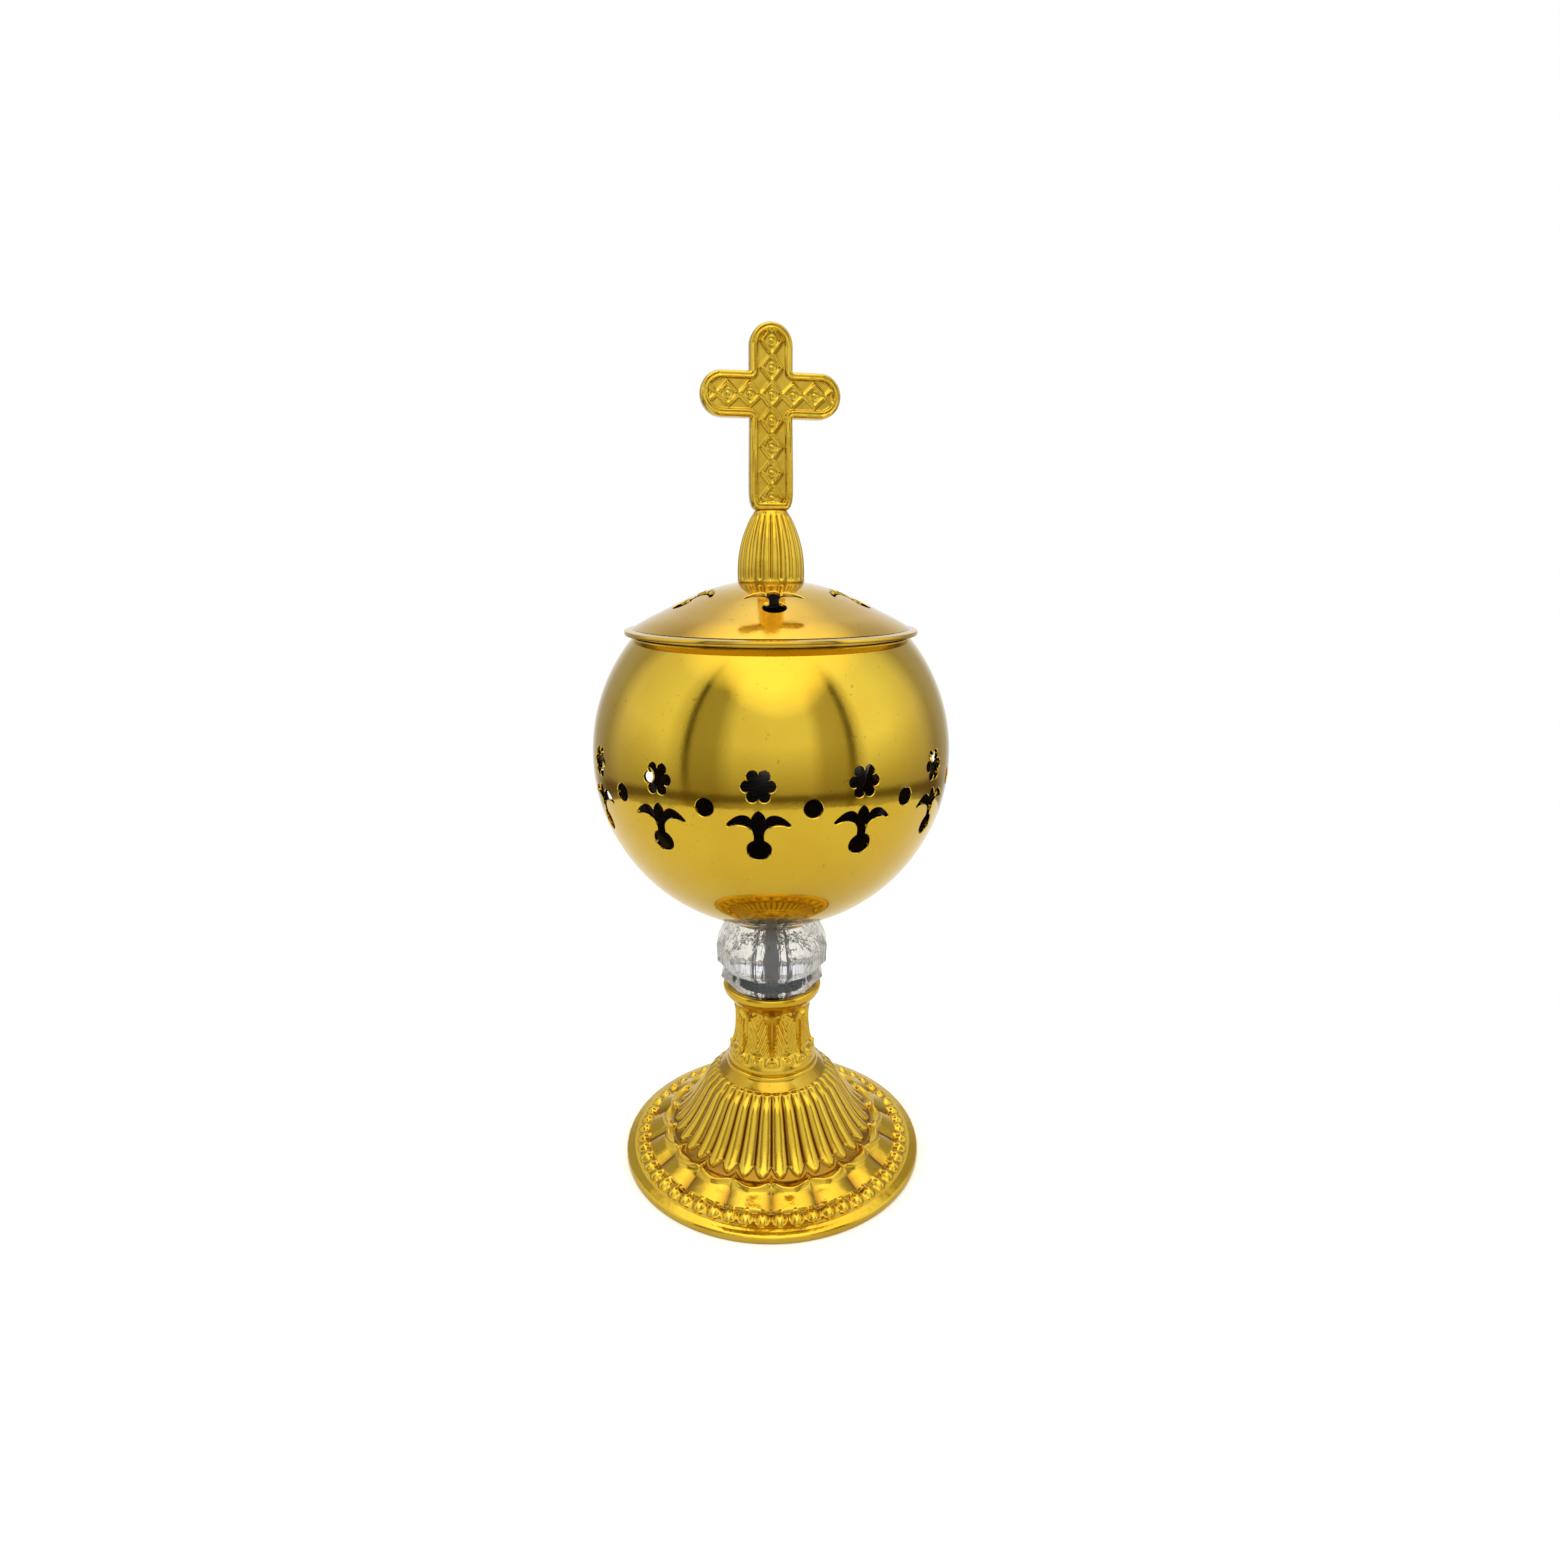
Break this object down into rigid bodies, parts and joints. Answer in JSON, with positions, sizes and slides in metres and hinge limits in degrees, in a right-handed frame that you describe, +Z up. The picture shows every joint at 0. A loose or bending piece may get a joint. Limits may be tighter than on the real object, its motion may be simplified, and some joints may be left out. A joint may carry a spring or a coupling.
{
  "type": "thurible censer",
  "caption": "Standing table censer on a fluted foot, with a crystal knop, a pierced round bowl, a lift-out ember cup and a vented lid topped by a fluted bell and a cross.",
  "frame": {"origin": "centre of the foot's resting plane", "axes": "+Z up along the axis of the stem, -Y is the front"},
  "size_m": [0.0894, 0.0894, 0.2135],
  "materials": {
    "spun_gold": "polished, gold plated",
    "cast_gold": "bright casting, gold plated",
    "steel": "satin",
    "crystal": "cut and polished",
    "clear_nylon": "plain"
  },
  "bodies": {
    "stand": {"foot": "cast_gold", "foot_washer": "steel", "foot_lock_washer": "steel", "foot_nut": "steel", "tie_rod": "steel", "stem_sleeve": "cast_gold", "lower_gasket": "clear_nylon", "crystal_knop": "crystal", "upper_gasket": "clear_nylon", "bowl_seat": "spun_gold", "bowl_shell": "spun_gold", "bowl_washer": "steel", "bowl_nut": "steel"},
    "cup": {"ember_cup": "steel"},
    "lid": {"lid_shell": "spun_gold", "lid_collar": "spun_gold", "finial_bell": "cast_gold", "finial_stud": "steel", "finial_washer": "steel", "finial_nut": "steel", "cross": "cast_gold"}
  },
  "joints": [
    {"name": "cup_lift", "type": "slide", "parent": "stand", "child": "cup", "axis": [0, 0, 1], "range_m": [0, 0.06]},
    {"name": "lid_lift", "type": "slide", "parent": "cup", "child": "lid", "axis": [0, 0, 1], "range_m": [0, 0.06]}
  ]
}
